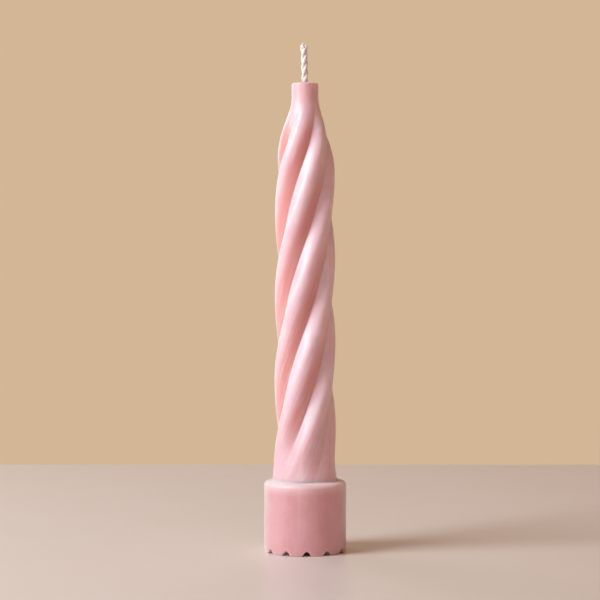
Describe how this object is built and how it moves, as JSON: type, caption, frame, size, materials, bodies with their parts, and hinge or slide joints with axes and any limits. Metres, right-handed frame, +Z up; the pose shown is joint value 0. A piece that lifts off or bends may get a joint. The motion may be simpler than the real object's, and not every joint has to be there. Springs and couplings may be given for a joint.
{
  "type": "candle",
  "caption": "Taper candle with spiral lobes, a plain round neck, a bare plied wick and a wider round foot with small arched notches round its underside.",
  "frame": {"origin": "centre of the foot's underside, on the plane that the candle stands on", "axes": "+Z up along the candle's axis to the wick, -Y towards the viewer of the picture, +X to that viewer's right"},
  "size_m": [0.0352, 0.0352, 0.2176],
  "materials": {
    "shaft_wax": "cast pink wax with a soft satin sheen",
    "foot_wax": "cast pink wax with a soft satin sheen",
    "wick_cotton": "undyed cotton, plied"
  },
  "bodies": {
    "root": {"foot": "foot_wax", "twisted_shaft": "shaft_wax", "wick_ply_1": "wick_cotton", "wick_ply_2": "wick_cotton", "wick_ply_3": "wick_cotton"}
  },
  "joints": []
}
